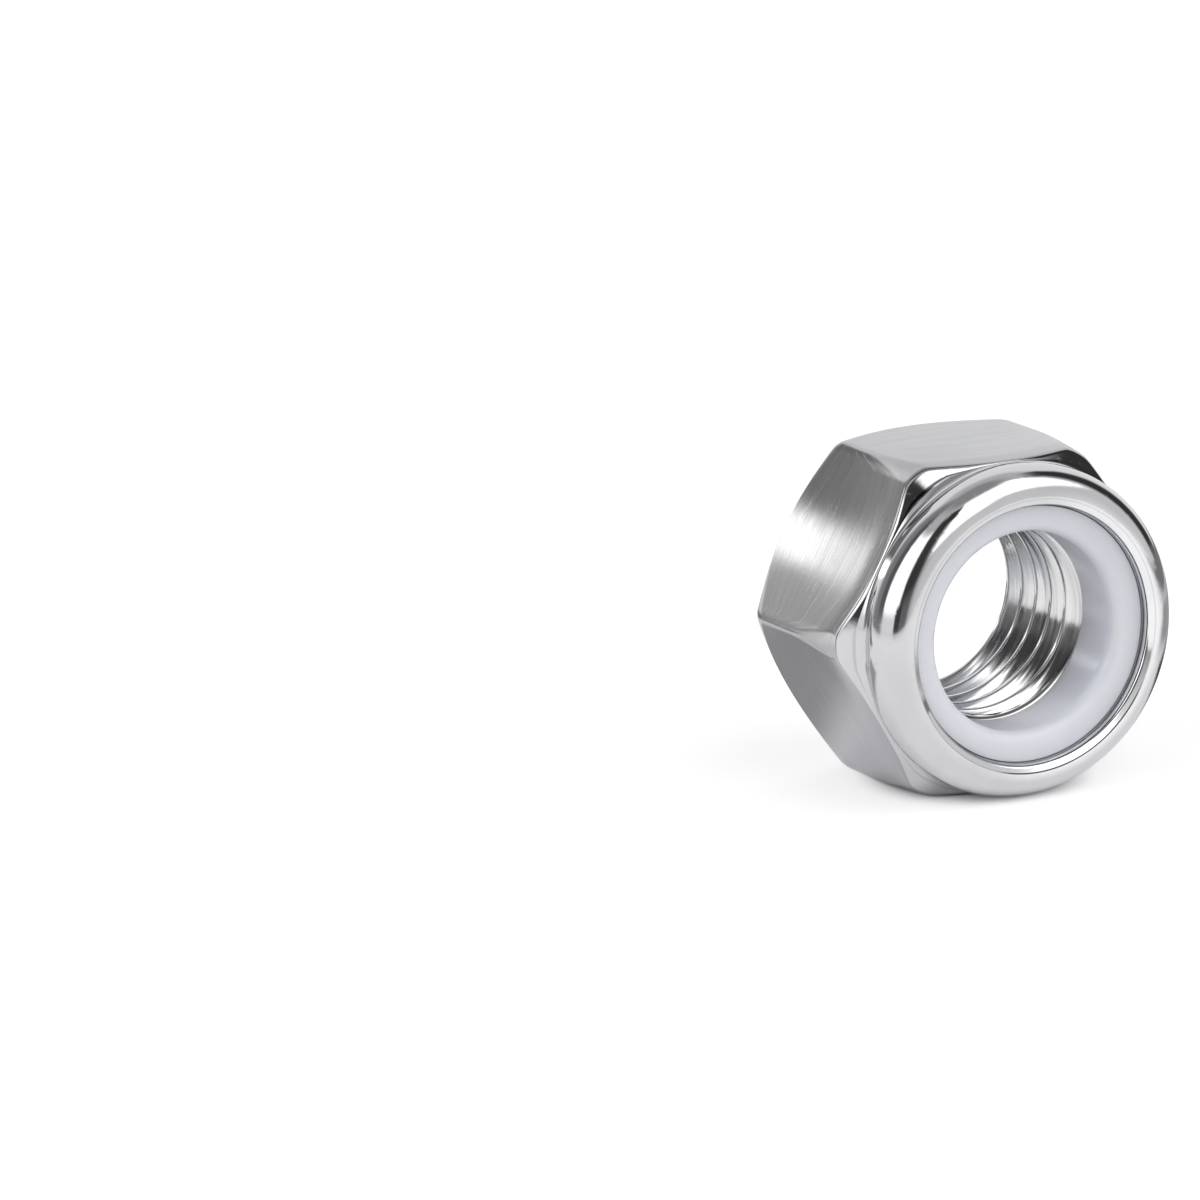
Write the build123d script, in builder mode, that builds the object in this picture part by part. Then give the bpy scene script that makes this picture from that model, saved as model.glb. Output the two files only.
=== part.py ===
import os
from math import radians, sqrt, tan

from build123d import *

os.makedirs("parts", exist_ok=True)

# Driving dimensions in millimetres
# Heights run along the hole's axis, from the bearing face at the back to the collar at the front.
# Angles are measured from the bearing face.
flat_wall = 5.0  # thinnest wall of the hexagon, from the thread's roots out to the flats
hexagon_height = 17.0  # to the middle of each flat's front edge
corner_round = 1.2  # on the six edges between the flats
stock_allowance = 1.0  # hexagonal bar in front of the collar, turned away

# Metric coarse thread, left as a plain hole at its inner diameter
thread_major_radius = 10.0
thread_pitch = 2.5
thread_engagement = 0.54127  # depth of an internal thread as a share of its pitch
countersink_margin = 0.5  # beyond the thread's roots at the bearing face
floor_countersink_margin = 0.95  # beyond the thread's crests at the pocket's floor
countersink_angle = 30.0

# Chamfers at both ends of the hexagon, and the taper that forging leaves on the front of its corners
bearing_inset = 0.9  # from the flats in to the edge of the bearing face
bearing_chamfer_angle = 30.0
front_chamfer_angle = 40.0
corner_taper_angle = 84.5
corner_taper_depth = 0.7  # lost from the sharp corner where the front chamfer starts

# Collar: a neck, a straight wall, a dome over the insert and a lip rolled inwards
collar_inset = 0.1  # the collar stays this far inside the flats
neck_depth = 0.3
neck_fillet = 0.8
collar_wall_height = 2.0
dome_height = 3.0
collar_thickness = 2.1
lip_reach = 1.25  # the throat is the lip's narrowest ring, this far in from the pocket's wall
lip_flare = 0.4  # from the throat out to the nose
lip_depth = 0.9  # from the nose back to the throat
lip_underside_angle = 50.0

# Nylon ring
insert_height = 6.2
insert_bore_allowance = 0.35  # over the thread's crests
insert_clearance = 0.05  # around the ring, which seats on the pocket's floor
insert_dish = 0.7  # fall of the front face from the lip to the bore
insert_mouth_bevel = 0.4

# Sizes that follow from those above
flat_distance = thread_major_radius + flat_wall
corner_distance = 2 * flat_distance / sqrt(3)
tapered_corner_distance = corner_distance - corner_taper_depth
bearing_radius = flat_distance - bearing_inset
thread_minor_radius = thread_major_radius - thread_engagement * thread_pitch
countersink_radius = thread_major_radius + countersink_margin
floor_countersink_radius = thread_minor_radius + floor_countersink_margin
collar_radius = flat_distance - collar_inset
neck_radius = collar_radius - neck_depth
pocket_radius = collar_radius - collar_thickness
throat_radius = pocket_radius - lip_reach
nose_radius = throat_radius + lip_flare
insert_bore_radius = thread_minor_radius + insert_bore_allowance


def rise(run, angle):
    """Axial length of a cone whose radius changes by run at angle to the bearing face."""
    return run * tan(radians(angle))


bearing_chamfer_height = rise(corner_distance - bearing_radius, bearing_chamfer_angle)
taper_end_height = hexagon_height - rise(tapered_corner_distance - flat_distance, front_chamfer_angle)
taper_start_height = taper_end_height - rise(corner_taper_depth, corner_taper_angle)
neck_height = hexagon_height + rise(flat_distance - neck_radius, front_chamfer_angle)
dome_start_height = hexagon_height + collar_wall_height
overall_height = dome_start_height + dome_height
throat_height = overall_height - lip_depth
pocket_top_height = throat_height - rise(lip_reach, lip_underside_angle)
pocket_floor_height = throat_height - insert_height
countersink_depth = rise(countersink_margin + thread_engagement * thread_pitch, countersink_angle)
floor_countersink_depth = rise(floor_countersink_margin, countersink_angle)

# The nut stands on one flat with its hole level, the collar facing -Y and the bearing face facing +Y.
hole_start = (0, overall_height / 2, flat_distance)
hole_axis = Axis(origin=hole_start, direction=(0, -1, 0))
bearing_plane = Plane(origin=hole_start, x_dir=(1, 0, 0), z_dir=(0, -1, 0))
# In the section plane, X is the distance from the hole's axis and Y the height above the bearing face.
section_plane = Plane(origin=hole_start, x_dir=(1, 0, 0), z_dir=(0, 0, -1))

# Nut body: a hexagonal bar turned to the section of the whole nut
with BuildPart() as nut_body:
    with BuildSketch(bearing_plane) as bar_section:
        RegularPolygon(radius=flat_distance, side_count=6, major_radius=False)
        fillet(bar_section.vertices(), radius=corner_round)
    extrude(amount=overall_height + stock_allowance)

    with BuildSketch(section_plane) as turned_section:
        with BuildLine() as outline:
            Polyline(
                (countersink_radius, 0),
                (bearing_radius, 0),
                (corner_distance, bearing_chamfer_height),
                (corner_distance, taper_start_height),
                (tapered_corner_distance, taper_end_height),
                (neck_radius, neck_height),
                (collar_radius, dome_start_height),
            )
            TangentArc(
                (collar_radius, dome_start_height),
                (nose_radius, overall_height),
                tangent=(0, 1),
            )
            Polyline(
                (nose_radius, overall_height),
                (throat_radius, throat_height),
                (pocket_radius, pocket_top_height),
                (pocket_radius, pocket_floor_height),
                (floor_countersink_radius, pocket_floor_height),
                (thread_minor_radius, pocket_floor_height - floor_countersink_depth),
                (thread_minor_radius, countersink_depth),
                (countersink_radius, 0),
            )
        make_face()
        neck_corner = turned_section.vertices().sort_by_distance((neck_radius, neck_height))[0]
        fillet(neck_corner, radius=neck_fillet)
    revolve(axis=hole_axis, mode=Mode.INTERSECT)
nut_body.part.label = "nut_body"
export_step(nut_body.part, "parts/nut_body.step")

# Nylon insert: a ring seated on the pocket's floor and held in by the lip
with BuildPart() as nylon_insert:
    with BuildSketch(section_plane) as ring_section:
        mouth_point = (insert_bore_radius, throat_height - insert_dish)
        with BuildLine() as ring_outline:
            Polyline(
                mouth_point,
                (insert_bore_radius, pocket_floor_height),
                (pocket_radius - insert_clearance, pocket_floor_height),
                (pocket_radius - insert_clearance, pocket_top_height),
                (throat_radius - insert_clearance, throat_height),
                close=True,
            )
        make_face()
        mouth_corner = ring_section.vertices().sort_by_distance(mouth_point)[0]
        chamfer(mouth_corner, length=insert_mouth_bevel)
    revolve(axis=hole_axis)
nylon_insert.part.label = "nylon_insert"
export_step(nylon_insert.part, "parts/nylon_insert.step")
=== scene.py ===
from math import cos, pi, radians, sin, sqrt, tan

import bpy
import numpy as np
from mathutils import Matrix, Vector


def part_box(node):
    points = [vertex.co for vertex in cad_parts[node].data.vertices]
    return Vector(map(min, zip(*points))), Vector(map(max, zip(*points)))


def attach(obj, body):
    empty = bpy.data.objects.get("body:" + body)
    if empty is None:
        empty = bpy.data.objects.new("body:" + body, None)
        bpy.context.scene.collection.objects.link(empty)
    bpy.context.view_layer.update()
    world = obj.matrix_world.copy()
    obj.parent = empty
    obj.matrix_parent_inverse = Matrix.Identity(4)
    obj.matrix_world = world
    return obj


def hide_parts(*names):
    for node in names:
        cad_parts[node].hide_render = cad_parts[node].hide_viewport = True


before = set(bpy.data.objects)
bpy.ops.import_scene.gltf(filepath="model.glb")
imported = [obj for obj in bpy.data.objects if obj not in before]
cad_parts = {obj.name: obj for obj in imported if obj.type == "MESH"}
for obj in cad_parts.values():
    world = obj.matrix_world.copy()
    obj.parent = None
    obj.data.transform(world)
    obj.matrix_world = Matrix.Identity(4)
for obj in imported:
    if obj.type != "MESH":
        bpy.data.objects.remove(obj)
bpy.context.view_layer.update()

# Sizes in metres
# Heights run along the hole's axis, from the bearing face at the back (+Y) to the collar at the front (-Y).
body_low, body_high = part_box("nut_body")
ring_low, ring_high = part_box("nylon_insert")
flat_distance = (body_high.z - body_low.z) / 2
overall_height = body_high.y - body_low.y
corner_distance = 2 * flat_distance / sqrt(3)
hexagon_height = 0.017
bearing_radius = 0.0141
bearing_slope = tan(radians(30))
front_slope = tan(radians(43.5))
taper_slope = tan(radians(84.5))
taper_depth = 0.0007  # lost from the sharp corner where the front chamfer starts
corner_round = 0.0012
strip_width = 0.0013  # along the front edge of each flat, leaning like the corners' taper
flat_crown_angle = radians(4)

collar_radius = 0.0149
neck_radius = 0.0146
dome_height = 0.003
throat_radius = 0.01155
crease_radius = 0.0123  # where the dome ends and the lip's bevel starts
crease_step = 0.00004  # from the dome's end in to the crease
crease_drop = 0.00003  # the crease lies this far behind the overall height
bevel_radius = 0.01165  # where the bevel turns into the lip's steep inner wall
bevel_slope = tan(radians(27))
lip_underside_height = 0.00149
insert_clearance = 0.00005
pocket_radius = (ring_high.x - ring_low.x) / 2 + insert_clearance
throat_height = body_high.y - ring_low.y
pocket_floor_height = body_high.y - ring_high.y
pocket_top_height = throat_height - lip_underside_height

thread_pitch = 0.0025
thread_major_radius = 0.010
thread_engagement = 0.54127  # depth as a share of the pitch
thread_minor_radius = thread_major_radius - thread_engagement * thread_pitch
thread_crest_end = 0.08 * thread_pitch  # both from the middle of the crest
thread_root_start = 0.455 * thread_pitch
countersink_radius = 0.0105
floor_countersink_margin = 0.00095  # beyond the thread's crests
floor_countersink_radius = thread_minor_radius + floor_countersink_margin
countersink_slope = tan(radians(30))
insert_bore_allowance = 0.0003  # over the thread's crests
insert_bore_radius = thread_minor_radius + insert_bore_allowance
insert_dish = 0.0008  # fall of the ring's face from the lip to the bore
edge_sink = 0.0002  # the ring's outer edge lies this far behind the lip's narrowest ring

# Rounding of the edges: how far from the sharp edge it starts and ends
bearing_edge_cut = 0.0004
rear_edge_cut = 0.0002
rear_corner_cut = 0.0017  # more than that at the hexagon's corners
strip_edge_cut = 0.0006
strip_corner_cut = 0.0014  # more than that at the hexagon's corners
front_edge_cut = 0.00042
neck_cut = 0.0009
crease_cut = 0.00008
bevel_cut = 0.00022
throat_cut = 0.00012
pocket_cut = 0.0003
thread_cut = 0.00014
insert_cuts = [0.0002, 0.0003, 0.0003, 0.0003, 0.0011]  # from the bore's rear edge round to its mouth

# Width of the changeover between two surfaces that meet at a slant
taper_blend = 0.0003
strip_blend = 0.0005
chamfer_blend = 0.0001

# Rows of points on an edge, on a wide edge, on an edge of the thread and on the dome
edge_steps = 5
wide_edge_steps = 9
thread_edge_steps = 4
dome_steps = 20
dome_end_angle = radians(88)
cut_limit = 0.45  # share of the side beside an edge that its rounding may take

# Columns of points around the hole, in degrees
sector_angle = 60
corner_zone = 6  # the columns are close together this far from each corner
corner_column_step = 0.5
flat_column_step = 2.0
first_column = -60  # on a corner that is hard to see
insert_column_step = 2.0

# Angles of the hexagon
side_angle = radians(sector_angle)
half_side_angle = radians(sector_angle / 2)
top_side = radians(90)
round_start = np.arctan((flat_distance - corner_round) * tan(half_side_angle) / flat_distance)

# The flat between 120 and 180 degrees is scratched most.
# Lengths around the nut are taken at the flats' distance.
rubbed_middle = radians(150) * flat_distance
rubbed_half = radians(29) * flat_distance
rubbed_edge = 0.0004

# Colours, in pairs that noise mixes
worn_steel = ((0.57, 0.57, 0.575), (0.61, 0.61, 0.615))
# Unrubbed flats: darker partly as fresh steel and partly as painted shade that dims their reflections
fresh_and_shaded_steel = ((0.45, 0.452, 0.477), (0.47, 0.472, 0.497))
collar_steel = ((0.61, 0.61, 0.63), (0.65, 0.65, 0.67))
# Painted highlight: brighter steel on the lip
lip_highlight_steel = ((0.81, 0.81, 0.82), (0.87, 0.87, 0.88))
thread_steel = ((0.76, 0.76, 0.765), (0.56, 0.56, 0.555))
nylon_white = ((0.80, 0.815, 0.885), (0.81, 0.825, 0.893))
# Colour of the painted shade lines on the steel and the nylon
painted_shade_colour = (0.02, 0.02, 0.02)

# Depths of the relief in metres
flat_grain_depth = 0.0000016
flat_scratch_depth = 0.000006
collar_wave_depth = 0.000013
scuff_depth = 0.0000015
thread_wave_depth = 0.000025
thread_grain_depth = 0.0000015
nylon_grain_depth = 0.0000005

# Painted shade along edges of the polished steel: dark lines for mirrored dark and shadow at these edges.
# Half their width in metres and their depth, from 0 to 1.
# Lines that fade out also have the angle around the nut where they are strongest and their reach, in degrees.
painted_shade_lines = {
    "crease": (0.00009, 0.95, -68, 44),
    "bevel": (0.0001, 0.92),
    "wall": (0.0004, 0.4, -22, 38),
    "flat": (0.00013, 0.9, 130, 60),
    "neck": (0.00013, 0.9, 122, 45),
}
lip_highlight_zone = (0.0016, 1.0, -15, 105)  # painted highlight: the lip's steel made brighter, given in the same way
lip_highlight_middle = 0.0006  # from the crease in to the middle of that zone
# Painted shadow line on the thread where it ends at the nylon ring: half width, depth, and its gap from the
# ring
thread_end_shadow = (0.0001, 0.93)
thread_end_shadow_gap = 0.00002
# Painted shadow along the nylon ring's edge under the lip: half width and depth
insert_edge_shadow = (0.00009, 0.9)
line_core = 0.4  # share of a line's half width that has its full depth
line_core_reach = 0.7  # share of its reach that has its full depth
line_rest = 0.2  # share of its depth that is left beyond its reach

# Photograph: the camera's place, as seen from the nut
camera_azimuth = radians(-26.88)  # turned from the collar's side towards -X
camera_elevation = radians(13.91)
camera_roll = radians(-1.51)
camera_distance = 0.5654
camera_aim = Vector((-0.02496, 0.02365, 0.01449))
focal_length_px = 6269.0
image_width_px = 1200

# Studio as the nut sees it: azimuths run from +Y towards +X, and both angles are in degrees.
# Each area is: first and last azimuth, lowest and highest elevation, width of its soft edge, brightness.
studio_areas = {
    "backdrop": (-35, 68, -20, 56, 14, 0.98),
    "left_wall": (292, 334, -20, 80, 20, 0.28),
    "left_corner": (288, 310, 4, 62, 12, 0.13),
    "front_wall": (98, 190, -20, 40, 8, 0.78),
    "ceiling": (-180, 180, 73, 110, 14, 0.34),
    "front_softbox": (108, 199, 30, 71, 8, 1.8),
    "front_softbox_end": (162, 198, 23, 40, 7, 1.8),
    "camera_side": (199, 238, -6, 28, 12, 0.17),
    "camera_flag": (204, 235, 11, 64, 12, 0.055),
    "camera_top": (197, 220, 51, 67, 6, 0.045),
    "left_softbox_foot": (240, 287, -6, 12, 12, 0.95),
    "left_softbox": (236, 290, 8, 54, 8, 1.8),
    "camera_foot": (224, 243, -3, 11, 6, 0.06),
    "right_flag": (67, 99, -3, 60, 14, 0.045),
}
wall_brightness = 0.6

# Floor: its colour, its lift to white for the camera, and its lift in mirrored rays away from the contact
# Distances are from the middle of the nut's base. Each lift or fade runs from its near one to its far one.
plate_corners = [(-1, -1), (1, -1), (1, 1), (-1, 1)]  # of the floor and of each card, in half widths
floor_half = 3.0
floor_colour = 0.92
floor_colour_seen = 0.6
floor_lift_seen = 0.58
floor_lift_near = 0.0068
floor_lift_far = 0.0114
floor_lift_mirrored = 0.27
contact_near = 0.0085
contact_far = 0.0105
floor_fade_near = 0.1  # beyond, mirrored rays pass through the floor to the walls
floor_fade_far = 0.4

# Cards that stand before the upper left flat, where the camera sees them mirrored
# Each is: shift across, up and towards the flat, width, height, brightness, width of its soft edge.
flat_middle = Vector((-0.013, 0.0025, 0.0225))
flat_upright = Vector((0.5, 0, 0.866))
mirrored_way = Vector((-0.428, 0.866, 0.26))
flat_card_distance = 0.045
flat_cards = {
    "dark_card": (0.010, 0.018, 0, 0.030, 0.032, 0.19, 0.004),
    "bright_strip": (0.009, 0, 0.002, 0.028, 0.009, 2.6, 0.003),
}

# Dark cards that lie on the floor and only mirrored rays see: painted shade on the floor in the nut's
# reflections
# Each is: place, direction of its height, width, height, brightness, width of its soft edge.
painted_shade_floor_cards = {
    "left_floor_card": ((-0.018, 0.024, 0.0002), (0, 1, 0), 0.05, 0.03, 0.43, 0.008),
    "rear_floor_card": ((0.075, 0.09, 0.0001), (0.5, 0.866, 0), 0.045, 0.22, 0.08, 0.01),
    "rear_left_floor_card": ((-0.068, 0.188, 0.00015), (-0.34, 0.94, 0), 0.1, 0.27, 0.2, 0.012),
    "far_floor_card": ((0.42, 0.05, 0.0002), (0, 1, 0), 0.7, 0.4, 0.25, 0.08),
    "right_floor_card": ((0.072, 0.014, 0.0003), (0, 1, 0), 0.075, 0.11, 0.42, 0.022),
}


def column_angles():
    """Angles around the hole of the lines of points that run from the bearing face to the collar.

    They are closer together at the hexagon's round corners.
    """
    middle = sector_angle / 2
    corner_part = np.arange(0, corner_zone, corner_column_step)
    flat_part = np.arange(corner_zone, middle, flat_column_step)
    half = np.concatenate([corner_part, flat_part])
    sector = np.concatenate([half, [middle], sector_angle - half[:0:-1]])
    turn = np.concatenate([sector + sector_angle * i for i in range(6)])
    return np.radians(np.append(turn, 360) + first_column)


def side_lean(angles):
    """Angle from the middle of the nearest side of the hexagon."""
    return (angles - top_side + half_side_angle) % side_angle - half_side_angle


def flat_radius(angles):
    """Distance from the hole's axis to the hexagon's side, with round corners."""
    lean = np.abs(side_lean(angles))
    on_flat = flat_distance / np.cos(lean)
    centre = (flat_distance - corner_round) / cos(half_side_angle)
    from_corner = half_side_angle - lean
    reach = np.clip(corner_round**2 - (centre * np.sin(from_corner)) ** 2, 0, None)
    on_round = centre * np.cos(from_corner) + np.sqrt(reach)
    return np.where(lean > round_start, on_round, on_flat)


def spots(height, radius, count):
    """One (height, radius) for each column."""
    return np.stack(np.broadcast_arrays(height, radius, np.zeros(count))[:2], axis=1)


def bend(before, corner, after, cut, steps=edge_steps):
    """Rows of points and directions that round a corner, starting and ending at the distance cut from it."""
    to_corner = corner - before
    from_corner = after - corner
    length_in = np.linalg.norm(to_corner, axis=1, keepdims=True)
    length_out = np.linalg.norm(from_corner, axis=1, keepdims=True)
    cut_in = np.minimum(cut, cut_limit * length_in)
    cut_out = np.minimum(cut, cut_limit * length_out)
    start = corner - to_corner / length_in * cut_in
    end = corner + from_corner / length_out * cut_out
    rows = []
    for share in np.linspace(0, 1, steps):
        place = (1 - share) ** 2 * start + 2 * share * (1 - share) * corner + share**2 * end
        way = (1 - share) * (corner - start) + share * (end - corner)
        rows.append((place, way))
    return rows


def arc(centre, radii, start, end, steps, count):
    """Rows on an elliptic arc in the section, its angles measured from outwards to the front."""
    rows = []
    for angle in np.linspace(start, end, steps):
        place = spots(centre[0] + radii[0] * sin(angle), centre[1] + radii[1] * cos(angle), count)
        way = spots(radii[0] * cos(angle), -radii[1] * sin(angle), count)
        rows.append((place, way))
    return rows


def slope_across(grid, angles):
    """Derivative along its columns of each row of points, where the last column is the first one again."""
    before = np.concatenate([grid[:, -2:-1], grid[:, :-1]], axis=1)
    after = np.concatenate([grid[:, 1:], grid[:, 1:2]], axis=1)
    steps = np.diff(angles)
    step_before = np.append(steps[-1], steps)[None, :, None]
    step_after = np.append(steps, steps[0])[None, :, None]
    rise = (after - grid) * step_before / step_after + (grid - before) * step_after / step_before
    return rise / (step_before + step_after)


def in_space(height, radius, angles):
    """Points of the part's frame from height, radius and angle around the hole."""
    x = radius * np.cos(angles)
    y = body_high.y - height
    z = flat_distance + radius * np.sin(angles)
    return np.stack(np.broadcast_arrays(x, y, z), axis=-1)


def row_path(rows):
    """Length along the section at which each row lies, averaged around the nut."""
    places = np.stack([row[0] for row in rows])
    steps = np.linalg.norm(np.diff(places, axis=0), axis=-1).mean(axis=1)
    return np.append(0, np.cumsum(steps))


def section_patch(rows, angles, crown=None):
    """Points, normals and UV lengths of a surface whose rows are given in the section of each column.

    crown turns the normals of each point about the hole's axis, for flats that are polished slightly round.
    """
    places = np.stack([row[0] for row in rows])
    ways = np.stack([row[1] for row in rows])
    points = in_space(places[..., 0], places[..., 1], angles[None, :])
    along = np.stack(
        [
            ways[..., 1] * np.cos(angles),
            -ways[..., 0],
            ways[..., 1] * np.sin(angles),
        ],
        axis=-1,
    )
    across = slope_across(points, angles)
    normals = np.cross(across, along)
    normals /= np.linalg.norm(normals, axis=-1, keepdims=True)
    if crown is not None:
        x, z = normals[..., 0].copy(), normals[..., 2].copy()
        normals[..., 0] = x * np.cos(crown) - z * np.sin(crown)
        normals[..., 2] = x * np.sin(crown) + z * np.cos(crown)
    path = row_path(rows)
    lengths = np.stack(np.broadcast_arrays(angles[None, :] * flat_distance, path[:, None]), axis=-1)
    return points, normals, lengths


def grid_faces(rows, columns):
    """Four corners of each face of a grid of points."""
    row, column = np.meshgrid(np.arange(rows - 1), np.arange(columns - 1), indexing="ij")
    first = row * columns + column
    corners = [first, first + 1, first + columns + 1, first + columns]
    return np.stack([corner.ravel() for corner in corners], axis=1)


class Skin:
    """Collects patches of points with normals and joins them into one mesh."""

    def __init__(self):
        self.points, self.normals, self.lengths = [], [], []
        self.faces, self.slots = [], []
        self.count = 0

    def add(self, points, normals, lengths, slots):
        rows, columns = points.shape[:2]
        faces = grid_faces(rows, columns)
        self.faces.append(faces + self.count)
        self.slots.append(np.repeat(np.broadcast_to(slots, rows - 1), columns - 1))
        self.points.append(points.reshape(-1, 3))
        self.normals.append(normals.reshape(-1, 3))
        self.lengths.append(lengths.reshape(-1, 2))
        self.count += rows * columns

    def build(self, name, materials):
        points = np.concatenate(self.points)
        normals = np.concatenate(self.normals)
        lengths = np.concatenate(self.lengths)
        faces = np.concatenate(self.faces)
        slots = np.concatenate(self.slots)
        corners = points[faces]
        facing = np.cross(corners[:, 2] - corners[:, 0], corners[:, 3] - corners[:, 1])
        inward = (facing * normals[faces].sum(axis=1)).sum(axis=1) < 0
        faces[inward] = faces[inward][:, ::-1]

        joined, welded = np.unique(np.round(points, 8), axis=0, return_inverse=True)
        welded = welded.ravel()
        polygons, loops, kept_slots = [], [], []
        for face, slot in zip(faces, slots):
            ids, kept = [], []
            for corner in face:
                place = int(welded[corner])
                if place not in ids:
                    ids.append(place)
                    kept.append(corner)
            if len(ids) > 2:
                polygons.append(ids)
                loops.extend(kept)
                kept_slots.append(int(slot))

        mesh = bpy.data.meshes.new(name)
        mesh.from_pydata(joined.tolist(), [], polygons)
        for material in materials:
            mesh.materials.append(material)
        mesh.polygons.foreach_set("material_index", kept_slots)
        mesh.polygons.foreach_set("use_smooth", [True] * len(polygons))
        mesh.uv_layers.new(name="lengths").data.foreach_set("uv", lengths[loops].ravel())
        mesh.normals_split_custom_set(normals[loops].tolist())
        piece = bpy.data.objects.new(name, mesh)
        bpy.context.scene.collection.objects.link(piece)
        return piece


def smooth_least(first, second, width):
    """The smaller of two lengths, with a rounded changeover."""
    return -width * np.log(np.exp(-first / width) + np.exp(-second / width))


def body_section(angles):
    """Rows of the nut's outside, from the bearing face's inner edge over the collar to the pocket's floor.

    Also returned is the first row of each rounded edge.
    """
    count = len(angles)
    side = flat_radius(angles)
    tapered = corner_distance - taper_depth
    front_radius = smooth_least(side, tapered, taper_blend)
    front_height = hexagon_height - (front_radius - flat_distance) * front_slope
    taper_limit = hexagon_height - (tapered - flat_distance) * front_slope + (tapered - side) * taper_slope
    taper_height = smooth_least(taper_limit, front_height - strip_width, strip_blend)
    strip_radius = side - (front_height - taper_height) / taper_slope
    front_radius = smooth_least(front_radius, strip_radius, chamfer_blend)
    front_height = hexagon_height - (front_radius - flat_distance) * front_slope
    neck_height = hexagon_height + (flat_distance - neck_radius) * front_slope
    dome_start = overall_height - dome_height
    to_corner = (side - flat_distance) / (corner_distance - flat_distance)

    corners = [
        spots(0, countersink_radius, count),
        spots(0, bearing_radius, count),
        spots((side - bearing_radius) * bearing_slope, side, count),
        spots(taper_height, side, count),
        spots(front_height, front_radius, count),
        spots(neck_height, neck_radius, count),
        spots(dome_start, collar_radius, count),
    ]
    edges = {
        "bearing": (bearing_edge_cut, edge_steps),
        "rear": ((rear_edge_cut + rear_corner_cut * to_corner)[:, None], edge_steps),
        "strip": ((strip_edge_cut + strip_corner_cut * to_corner)[:, None], edge_steps),
        "front": (front_edge_cut, edge_steps),
        "neck": (neck_cut, wide_edge_steps),
    }
    rows = [(corners[0], corners[1] - corners[0])]
    first_rows = {}
    for i, (name, (cut, steps)) in enumerate(edges.items(), start=1):
        first_rows[name] = len(rows)
        rows += bend(corners[i - 1], corners[i], corners[i + 1], cut, steps)
    dome_radii = (dome_height - crease_drop, collar_radius - crease_radius)
    rows += arc((dome_start, crease_radius), dome_radii, 0, dome_end_angle, dome_steps, count)

    crease = spots(overall_height - crease_drop, crease_radius - crease_step, count)
    bevel_end = spots(overall_height - (crease_radius - bevel_radius) * bevel_slope, bevel_radius, count)
    throat = spots(throat_height, throat_radius, count)
    pocket_top = spots(pocket_top_height, pocket_radius, count)
    floor_edge = spots(pocket_floor_height, pocket_radius, count)
    floor_end = spots(pocket_floor_height, floor_countersink_radius, count)
    first_rows["crease"] = len(rows)
    rows += bend(rows[-1][0], crease, bevel_end, crease_cut)
    first_rows["bevel"] = len(rows)
    rows += bend(crease, bevel_end, throat, bevel_cut, wide_edge_steps)
    first_rows["throat"] = len(rows)
    rows += bend(bevel_end, throat, pocket_top, throat_cut)
    rows += bend(throat, pocket_top, floor_edge, pocket_cut)
    rows += bend(pocket_top, floor_edge, floor_end, pocket_cut)
    rows += [(floor_end, floor_end - floor_edge)]
    return rows, first_rows


def flat_crown(angles):
    """How far each column's normal turns towards the nearest corner, as on flats polished slightly round."""
    lean = side_lean(angles)
    on_flat = np.tan(lean) / tan(round_start)
    on_round = np.sign(lean) * (half_side_angle - np.abs(lean)) / (half_side_angle - round_start)
    share = np.where(np.abs(lean) > round_start, on_round, on_flat)
    return share * flat_crown_angle


def thread_profile():
    """One turn of the internal thread: places along the pitch, from one root to the next, and their radii."""
    middle = thread_pitch / 2
    corners = [
        (-middle, thread_major_radius),
        (-thread_root_start, thread_major_radius),
        (-thread_crest_end, thread_minor_radius),
        (thread_crest_end, thread_minor_radius),
        (thread_root_start, thread_major_radius),
        (middle, thread_major_radius),
    ]
    points = [np.array([corner]) for corner in corners]
    rows = [points[0]]
    for i in range(1, len(points) - 1):
        rounded = bend(points[i - 1], points[i], points[i + 1], thread_cut, thread_edge_steps)
        rows += [place for place, way in rounded]
    rows.append(points[-1])
    path = np.concatenate(rows)
    return path[:, 0], path[:, 1]


turn_places, turn_radii = thread_profile()


def thread_radius(height, angles):
    """Radius of the threaded hole, cut back by the countersinks at both ends."""
    phase = (height - thread_pitch * angles / (2 * pi) + thread_pitch / 2) % thread_pitch - thread_pitch / 2
    turn = np.interp(phase, turn_places, turn_radii)
    back = countersink_radius - height / countersink_slope
    front = floor_countersink_radius - (pocket_floor_height - height) / countersink_slope
    return np.maximum(turn, np.maximum(back, front))


def thread_patch(around):
    """Points, normals and UV lengths of the threaded hole, on lines that follow the helix."""
    first_turn, last_turn = -3, int(pocket_floor_height / thread_pitch) + 1
    turns = np.arange(first_turn, last_turn + 1)
    starts = (turns[:, None] * thread_pitch + turn_places[None, :-1]).ravel()
    height = starts[:, None] + thread_pitch * around[None, :] / (2 * pi)
    height = np.clip(height, 0, pocket_floor_height)
    radius = thread_radius(height, around)
    points = in_space(height, radius, around[None, :])
    step = 0.00002
    low = np.clip(height - step, 0, pocket_floor_height)
    high = np.clip(height + step, 0, pocket_floor_height)
    rise = (thread_radius(high, around) - thread_radius(low, around)) / (high - low)
    turn_step = 0.002
    swing = thread_radius(height, around + turn_step) - thread_radius(height, around - turn_step)
    swing = swing / (2 * turn_step) / radius
    outward = np.stack(np.broadcast_arrays(np.cos(around), 0, np.sin(around)), axis=-1)
    along = np.stack(np.broadcast_arrays(-np.sin(around), 0, np.cos(around)), axis=-1)
    axis = np.array([0.0, -1.0, 0.0])
    normals = -outward + swing[..., None] * along + rise[..., None] * axis
    normals /= np.linalg.norm(normals, axis=-1, keepdims=True)
    lengths = np.stack([np.broadcast_to(around * flat_distance, height.shape), height], axis=-1)
    return points, normals, lengths


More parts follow.
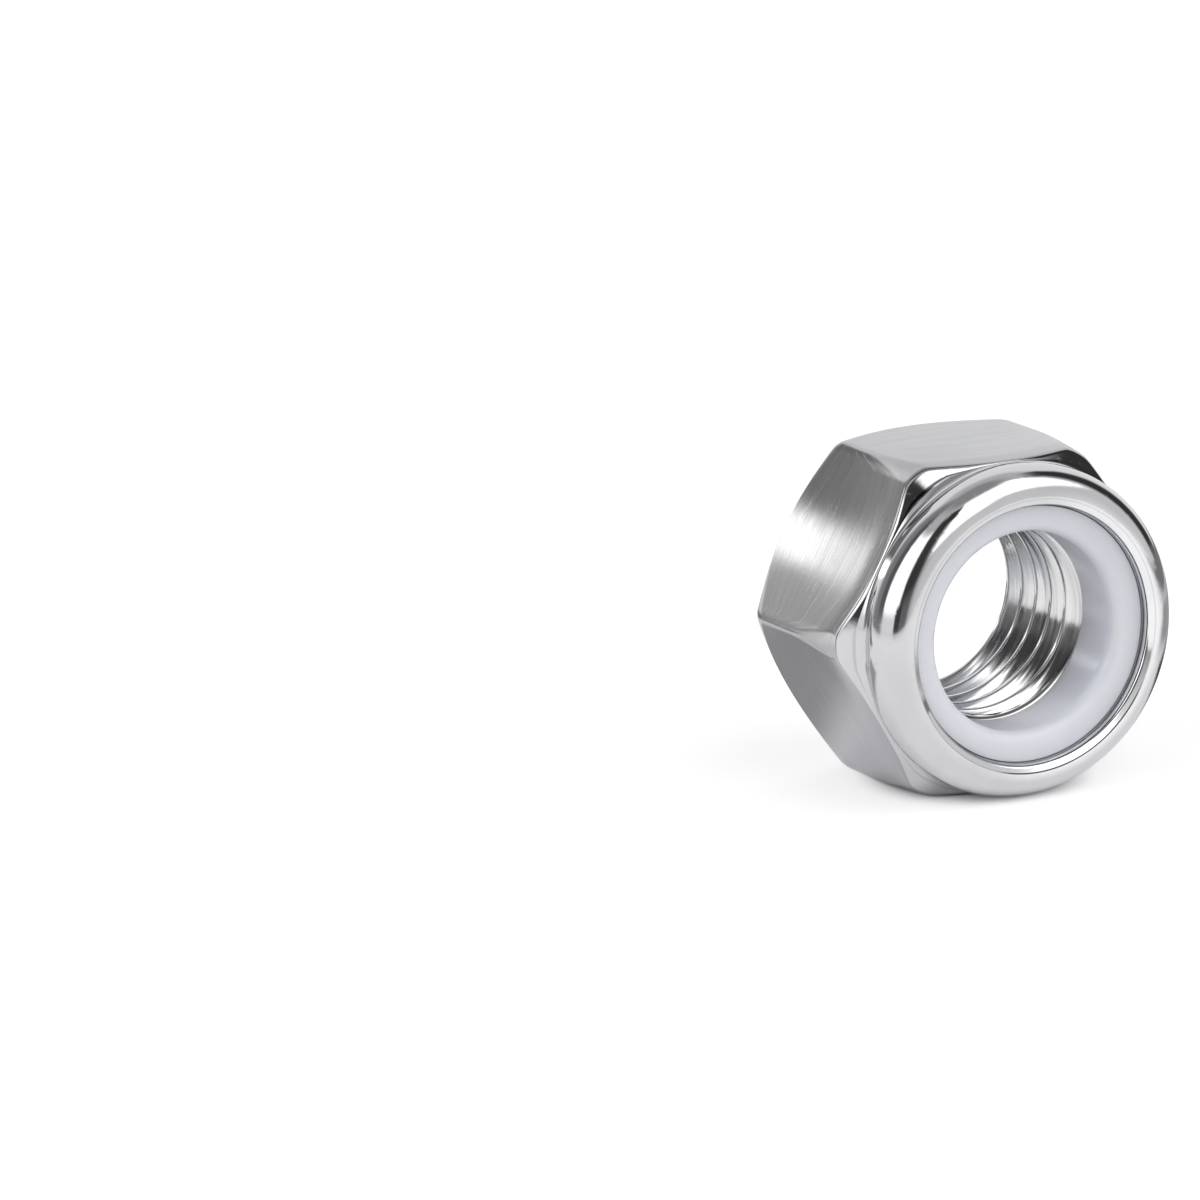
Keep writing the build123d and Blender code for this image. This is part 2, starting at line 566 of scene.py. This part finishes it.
def make_body():
    """Steel nut with its real thread, standing for the plain-bored solid."""
    angles = column_angles()
    rows, first_rows = body_section(angles)
    path = row_path(rows)
    middle = edge_steps // 2
    rear_row = first_rows["rear"] + middle
    front_row = first_rows["front"] + middle
    crease = path[first_rows["crease"] + middle]
    edges = {
        "flat": path[front_row],
        "neck": path[first_rows["neck"]],
        "crease": crease,
        "lip": crease + lip_highlight_middle,
        "wall": (path[first_rows["throat"]] + path[first_rows["throat"] + edge_steps - 1]) / 2,
        "bevel": path[first_rows["bevel"] + wide_edge_steps - 3],
    }
    materials = [brushed_steel(), polished_steel(edges), threaded_steel()]
    brushed, polished, threaded = range(len(materials))
    slots = np.full(len(rows) - 1, polished)
    slots[rear_row:front_row] = brushed
    crown = np.zeros((len(rows), 1))
    crown[rear_row + 1 : front_row] = 1
    skin = Skin()
    skin.add(*section_patch(rows, angles, crown * flat_crown(angles)), slots)
    skin.add(*thread_patch(angles), threaded)
    return skin.build("nut_steel", materials)


def make_insert():
    """Nylon ring, with the soft edges of a moulded part."""
    angles = np.radians(np.arange(0, 361, insert_column_step))
    count = len(angles)
    outer = pocket_radius - insert_clearance
    face_edge = throat_radius - insert_clearance
    corners = [
        spots(pocket_floor_height, insert_bore_radius, count),
        spots(pocket_floor_height, outer, count),
        spots(pocket_top_height, outer, count),
        spots(throat_height - edge_sink, face_edge, count),
        spots(throat_height - insert_dish, insert_bore_radius, count),
    ]
    rows = []
    for i, cut in enumerate(insert_cuts):
        rows += bend(corners[i - 1], corners[i], corners[(i + 1) % len(corners)], cut, wide_edge_steps)
    edge_place = row_path(rows)[3 * wide_edge_steps + wide_edge_steps // 2]
    rows.append(rows[0])
    skin = Skin()
    skin.add(*section_patch(rows, angles), 0)
    return skin.build("nylon_ring", [nylon(edge_place)])


def feed(tree, node, inputs):
    """Sets each of the node's inputs to a value, or links it to a socket."""
    for key, value in inputs.items():
        if isinstance(value, bpy.types.NodeSocket):
            tree.links.new(value, node.inputs[key])
        else:
            node.inputs[key].default_value = value


def add_node(tree, kind, inputs, **settings):
    """New node with its settings and inputs."""
    made = tree.nodes.new(kind)
    for name, value in settings.items():
        setattr(made, name, value)
    feed(tree, made, inputs)
    return made


def compute(tree, operation, *values):
    """Result of one step of arithmetic with numbers or sockets."""
    return add_node(tree, "ShaderNodeMath", dict(enumerate(values)), operation=operation).outputs[0]


def grade(tree, value, low, high, start=0.0, end=1.0):
    """Smooth change from start, where value is at low, to end, where it is at high."""
    limits = {0: value, 1: low, 2: high, 3: start, 4: end}
    return add_node(tree, "ShaderNodeMapRange", limits, interpolation_type="SMOOTHSTEP").outputs[0]


def between(tree, share, low, high):
    """Value that runs evenly from low to high with share."""
    return add_node(tree, "ShaderNodeMapRange", {0: share, 3: low, 4: high}).outputs[0]


def mixed(tree, share, first, second):
    """Number that runs from first to second with share; both may be sockets."""
    return add_node(tree, "ShaderNodeMix", {0: share, 2: first, 3: second}, data_type="FLOAT").outputs[0]


def blend(tree, share, first, second):
    """Colour that runs from first to second with share; both may be sockets."""
    inputs = {0: share}
    for key, colour in ((6, first), (7, second)):
        inputs[key] = (*colour, 1) if isinstance(colour, tuple) else colour
    return add_node(tree, "ShaderNodeMix", inputs, data_type="RGBA").outputs[2]


def around_and_along(tree):
    """Lengths around the nut and along its section, from the UV map."""
    lengths = add_node(tree, "ShaderNodeUVMap", {}, uv_map="lengths")
    parts = add_node(tree, "ShaderNodeSeparateXYZ", {0: lengths.outputs[0]})
    return parts.outputs[0], parts.outputs[1]


def streaks(tree, length, width, detail, low, high):
    """Noise drawn out along the way that the tool ran around the nut, as a value from 0 to 1."""
    around, along = around_and_along(tree)
    turn = compute(tree, "DIVIDE", around, flat_distance)
    circle = {0: compute(tree, "COSINE", turn), 1: compute(tree, "SINE", turn), 2: along}
    place = add_node(tree, "ShaderNodeCombineXYZ", circle)
    scale = (flat_distance / length, flat_distance / length, 1 / width)
    drawn = add_node(tree, "ShaderNodeMapping", {0: place.outputs[0], "Scale": scale})
    noise = add_node(tree, "ShaderNodeTexNoise", {"Vector": drawn.outputs[0], "Scale": 1.0, "Detail": detail})
    return grade(tree, noise.outputs[0], low, high)


def clouds(tree, size, detail, low, high):
    """Soft round noise, as a value from 0 to 1."""
    place = add_node(tree, "ShaderNodeTexCoord", {}).outputs["Object"]
    noise = add_node(tree, "ShaderNodeTexNoise", {"Vector": place, "Scale": 1 / size, "Detail": detail})
    return grade(tree, noise.outputs[0], low, high)


def relief(tree, height, depth, normal=None):
    """Normal that follows height, on top of another normal if one is given."""
    inputs = {"Height": height, "Distance": depth, "Strength": 1.0}
    if normal:
        inputs["Normal"] = normal
    return add_node(tree, "ShaderNodeBump", inputs).outputs[0]


def seam(tree, place, half, depth, middle=None, reach=None):
    """1 away from a line along the rows of points, falling by depth on the line itself.

    With middle, the line fades out towards reach degrees away from that angle around the nut.
    """
    around, along = around_and_along(tree)
    away = compute(tree, "ABSOLUTE", compute(tree, "SUBTRACT", along, place))
    line = grade(tree, away, half * line_core, half, 1 - depth, 1.0)
    if middle is None:
        return line
    turn = compute(tree, "MULTIPLY_ADD", around, 1 / flat_distance, radians(-middle))
    far, near = cos(radians(reach)), cos(radians(line_core_reach * reach))
    share = grade(tree, compute(tree, "COSINE", turn), far, near, line_rest, 1.0)
    return mixed(tree, share, 1.0, line)


def new_material(name):
    """Material with its node tree and its shader."""
    material = bpy.data.materials.new(name)
    material.use_nodes = True
    tree = material.node_tree
    return material, tree, tree.nodes["Principled BSDF"]


def brushed_steel():
    """Flats: satin, with fine scratches that run around the nut, most of them on the rubbed flat; the other
    flats' steel is darker, partly as fresh steel and partly as painted shade that dims their reflections.
    """
    material, tree, shader = new_material("steel_flats")
    fine = streaks(tree, length=0.006, width=0.00011, detail=3.0, low=0.35, high=0.7)
    coarse = streaks(tree, length=0.012, width=0.0007, detail=2.0, low=0.3, high=0.7)
    scratches = streaks(tree, length=0.0045, width=0.00016, detail=1.0, low=0.66, high=0.74)
    patches = clouds(tree, size=0.004, detail=3.0, low=0.3, high=0.7)
    around, along = around_and_along(tree)
    away = compute(tree, "ABSOLUTE", compute(tree, "SUBTRACT", around, rubbed_middle))
    limits = {0: away, 1: rubbed_half + rubbed_edge, 2: rubbed_half - rubbed_edge}
    rubbed = add_node(tree, "ShaderNodeMapRange", limits).outputs[0]
    grain = compute(tree, "MULTIPLY", fine, between(tree, rubbed, 0.03, 1.0))
    marks = compute(tree, "MULTIPLY", scratches, between(tree, rubbed, 0.015, 1.0))
    # Painted shade: the flats away from the rubbed one get the darker steel, which dims their reflections.
    fresh_and_shaded, worn = blend(tree, coarse, *fresh_and_shaded_steel), blend(tree, coarse, *worn_steel)
    satin, unevenness = between(tree, fine, 0.2, 0.26), between(tree, patches, -0.02, 0.02)
    tangent = add_node(tree, "ShaderNodeTangent", {}, direction_type="UV_MAP", uv_map="lengths")
    inputs = {
        "Base Color": blend(tree, rubbed, fresh_and_shaded, worn),
        "Metallic": 1,
        "Roughness": compute(tree, "ADD", satin, unevenness),
        "Anisotropic": between(tree, rubbed, 0.2, 0.85),
        "Anisotropic Rotation": 0.25,
        "Tangent": tangent.outputs[0],
        "Normal": relief(tree, marks, flat_scratch_depth, relief(tree, grain, flat_grain_depth)),
    }
    feed(tree, shader, inputs)
    return material


def polished_steel(edges):
    """Chamfers and collar: mirror-like, with faint turning marks and small scuffs, a painted highlight on the
    lip and painted shade as dark lines at edges.
    """
    material, tree, shader = new_material("steel_polished")
    turned = streaks(tree, length=0.02, width=0.0002, detail=2.0, low=0.3, high=0.7)
    scuffs = clouds(tree, size=0.0006, detail=5.0, low=0.58, high=0.78)
    patches = clouds(tree, size=0.005, detail=3.0, low=0.3, high=0.7)
    # Painted highlight: brighter steel on the lip, fading out around the nut.
    off_lip_highlight = seam(tree, edges["lip"], *lip_highlight_zone)
    colour = blend(tree, off_lip_highlight, blend(tree, patches, *lip_highlight_steel), blend(tree, patches, *collar_steel))
    # Painted shade: dark lines along the edges, for mirrored dark and shadow, fading out around the nut.
    for name, line in painted_shade_lines.items():
        colour = blend(tree, seam(tree, edges[name], *line), painted_shade_colour, colour)
    inputs = {
        "Base Color": colour,
        "Metallic": 1,
        "Roughness": compute(tree, "ADD", between(tree, turned, 0.04, 0.07), between(tree, scuffs, 0, 0.2)),
        "Normal": relief(tree, scuffs, scuff_depth, relief(tree, patches, collar_wave_depth)),
    }
    feed(tree, shader, inputs)
    return material


def threaded_steel():
    """Thread: bright from the tap, with fine lines along the turns and a painted shadow line where it ends at
    the nylon ring.
    """
    material, tree, shader = new_material("steel_thread")
    cut = streaks(tree, length=0.02, width=0.00015, detail=2.0, low=0.3, high=0.7)
    wide = streaks(tree, length=0.06, width=0.0005, detail=1.0, low=0.35, high=0.65)
    patches = clouds(tree, size=0.002, detail=4.0, low=0.35, high=0.7)
    colour = blend(tree, compute(tree, "MULTIPLY", wide, cut), *thread_steel)
    hidden = (floor_countersink_radius - insert_bore_radius) * countersink_slope
    # Painted shadow: a dark line on the thread beside the nylon ring.
    rim_shadow = seam(tree, pocket_floor_height - hidden - thread_end_shadow_gap, *thread_end_shadow)
    inputs = {
        "Base Color": blend(tree, rim_shadow, painted_shade_colour, colour),
        "Metallic": 1,
        "Roughness": compute(tree, "ADD", between(tree, cut, 0.07, 0.14), between(tree, patches, 0, 0.08)),
        "Normal": relief(tree, cut, thread_grain_depth, relief(tree, wide, thread_wave_depth)),
    }
    feed(tree, shader, inputs)
    return material


def nylon(edge_place):
    """Insert: milky nylon that lets some light through, with painted shadow at the edge that the lip holds.
    """
    material, tree, shader = new_material("nylon")
    patches = clouds(tree, size=0.004, detail=1.0, low=0.2, high=0.8)
    grain = clouds(tree, size=0.0004, detail=1.0, low=0.2, high=0.8)
    # Painted shadow: a dark line where the lip overhangs the ring.
    edge = seam(tree, edge_place, *insert_edge_shadow)
    inputs = {
        "Base Color": blend(tree, edge, painted_shade_colour, blend(tree, patches, *nylon_white)),
        "Roughness": between(tree, patches, 0.16, 0.2),
        "Subsurface Weight": 1.0,
        "Subsurface Radius": (1.0, 1.0, 1.1),
        "Subsurface Scale": 0.002,
        "Normal": relief(tree, grain, nylon_grain_depth),
    }
    feed(tree, shader, inputs)
    return material


def make_camera():
    """Camera that looks towards camera_aim from where the photograph was taken."""
    level = cos(camera_elevation)
    forward = Vector((-sin(camera_azimuth) * level, cos(camera_azimuth) * level, -sin(camera_elevation)))
    right = forward.cross(Vector((0, 0, 1))).normalized()
    up = right.cross(forward)
    rolled_right = cos(camera_roll) * right + sin(camera_roll) * up
    rolled_up = cos(camera_roll) * up - sin(camera_roll) * right
    axes = Matrix((rolled_right, rolled_up, -forward)).transposed().to_4x4()
    data = bpy.data.cameras.new("camera")
    data.lens = focal_length_px / image_width_px * data.sensor_width
    camera = bpy.data.objects.new("camera", data)
    camera.matrix_world = Matrix.Translation(camera_aim - forward * camera_distance) @ axes
    bpy.context.scene.collection.objects.link(camera)
    bpy.context.scene.camera = camera


def show_mix(tree, share, first, second):
    """Makes the surface change from one shader to the other with share."""
    shown = add_node(tree, "ShaderNodeMixShader", {0: share, 1: first, 2: second})
    tree.links.new(shown.outputs[0], tree.nodes["Material Output"].inputs["Surface"])


def make_floor():
    """Pale floor with the nut's shadow, lifted to white for the camera and lifted in mirrored rays."""
    mesh = bpy.data.meshes.new("floor")
    points = [(floor_half * i, floor_half * j, 0) for i, j in plate_corners]
    mesh.from_pydata(points, [], [(0, 1, 2, 3)])
    material, tree, shader = new_material("floor")
    path = add_node(tree, "ShaderNodeLightPath", {}).outputs
    place = add_node(tree, "ShaderNodeTexCoord", {}).outputs["Object"]
    reach = add_node(tree, "ShaderNodeVectorMath", {0: place}, operation="LENGTH").outputs["Value"]
    away = grade(tree, reach, floor_lift_near, floor_lift_far)
    lifted = compute(tree, "MULTIPLY", path["Is Camera Ray"], away)
    seen = compute(tree, "MULTIPLY", lifted, floor_lift_seen)
    mirrored = compute(tree, "ADD", path["Is Glossy Ray"], path["Is Transmission Ray"])
    clear = grade(tree, reach, contact_near, contact_far, 0.0, floor_lift_mirrored)
    inputs = {
        "Base Color": blend(tree, lifted, (floor_colour,) * 3, (floor_colour_seen,) * 3),
        "Roughness": 0.9,
        "Specular IOR Level": 0.1,
        "Emission Color": (1, 1, 1, 1),
        "Emission Strength": compute(tree, "MULTIPLY_ADD", mirrored, clear, seen),
    }
    feed(tree, shader, inputs)
    distant = grade(tree, reach, floor_fade_near, floor_fade_far)
    gone = compute(tree, "MULTIPLY", path["Is Glossy Ray"], distant)
    open_air = add_node(tree, "ShaderNodeBsdfTransparent", {})
    show_mix(tree, gone, shader.outputs[0], open_air.outputs[0])
    mesh.materials.append(material)
    floor = bpy.data.objects.new("floor", mesh)
    bpy.context.scene.collection.objects.link(floor)


def card(name, centre, facing, upright, width, height, tone, edge):
    """Flat card with soft edges, which only mirrored rays see."""
    facing = Vector(facing).normalized()
    across = Vector(upright).cross(facing).normalized()
    upright = facing.cross(across)
    points = [Vector(centre) + across * width / 2 * i + upright * height / 2 * j for i, j in plate_corners]
    mesh = bpy.data.meshes.new(name)
    mesh.from_pydata([tuple(point) for point in points], [], [(0, 1, 2, 3)])
    places = [(width * i, height * j) for i, j in plate_corners]
    mesh.uv_layers.new(name="card").data.foreach_set("uv", np.ravel(places))
    material, tree, shader = new_material(name)
    tree.nodes.remove(shader)
    place = add_node(tree, "ShaderNodeUVMap", {}, uv_map="card")
    parts = add_node(tree, "ShaderNodeSeparateXYZ", {0: place.outputs[0]})
    masks = []
    for part, size in zip(parts.outputs, (width, height)):
        masks.append(grade(tree, compute(tree, "ABSOLUTE", part), size, size - 2 * edge))
    clear = add_node(tree, "ShaderNodeBsdfTransparent", {})
    glow = add_node(tree, "ShaderNodeEmission", {"Strength": tone})
    show_mix(tree, compute(tree, "MULTIPLY", *masks), clear.outputs[0], glow.outputs[0])
    mesh.materials.append(material)
    made = bpy.data.objects.new(name, mesh)
    made.visible_camera = False
    made.visible_diffuse = False
    made.visible_shadow = False
    made.visible_transmission = False
    bpy.context.scene.collection.objects.link(made)


def make_cards():
    """Cards near the nut, each mirrored by one of the surfaces that the camera sees."""
    across = flat_upright.cross(-mirrored_way)
    middle = flat_middle + flat_card_distance * mirrored_way
    for name, (aside, up, nearer, width, height, tone, edge) in flat_cards.items():
        centre = middle - nearer * mirrored_way + aside * across + up * flat_upright
        card(name, centre, -mirrored_way, flat_upright, width, height, tone, edge)
    # Painted shade: dark cards on the floor, seen only in the nut's reflections.
    for name, (centre, upright, width, height, tone, edge) in painted_shade_floor_cards.items():
        card(name, centre, (0, 0, 1), upright, width, height, tone, edge)


def make_world():
    """White to the camera, and a studio with two softboxes and dark flags to every other ray."""
    scene = bpy.context.scene
    scene.view_settings.view_transform = "Standard"
    world = bpy.data.worlds.new("studio")
    scene.world = world
    world.use_nodes = True
    tree = world.node_tree
    place = add_node(tree, "ShaderNodeTexCoord", {})
    x, y, z = add_node(tree, "ShaderNodeSeparateXYZ", {0: place.outputs["Generated"]}).outputs
    azimuth = compute(tree, "ARCTAN2", x, y)
    elevation = compute(tree, "ARCSINE", z)
    level = wall_brightness
    for first, last, lowest, highest, edge, brightness in studio_areas.values():
        soft = radians(edge) / 2
        masks = []
        for angle, low, high in ((azimuth, first, last), (elevation, lowest, highest)):
            half = radians(high - low) / 2
            offset = compute(tree, "SUBTRACT", angle, radians(low + high) / 2)
            away = compute(tree, "ABSOLUTE", compute(tree, "WRAP", offset, pi, -pi))
            masks.append(grade(tree, away, half - soft, half + soft, 1.0, 0.0))
        level = mixed(tree, compute(tree, "MULTIPLY", *masks), level, brightness)
    path = add_node(tree, "ShaderNodeLightPath", {})
    seen = mixed(tree, path.outputs["Is Camera Ray"], level, 1.0)
    colour = add_node(tree, "ShaderNodeCombineXYZ", {0: seen, 1: seen, 2: seen})
    tree.links.new(colour.outputs[0], tree.nodes["Background"].inputs["Color"])


body = make_body()
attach(body, "root")
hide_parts("nut_body")
ring = make_insert()
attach(ring, "root")
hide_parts("nylon_insert")
make_camera()
make_floor()
make_cards()
make_world()
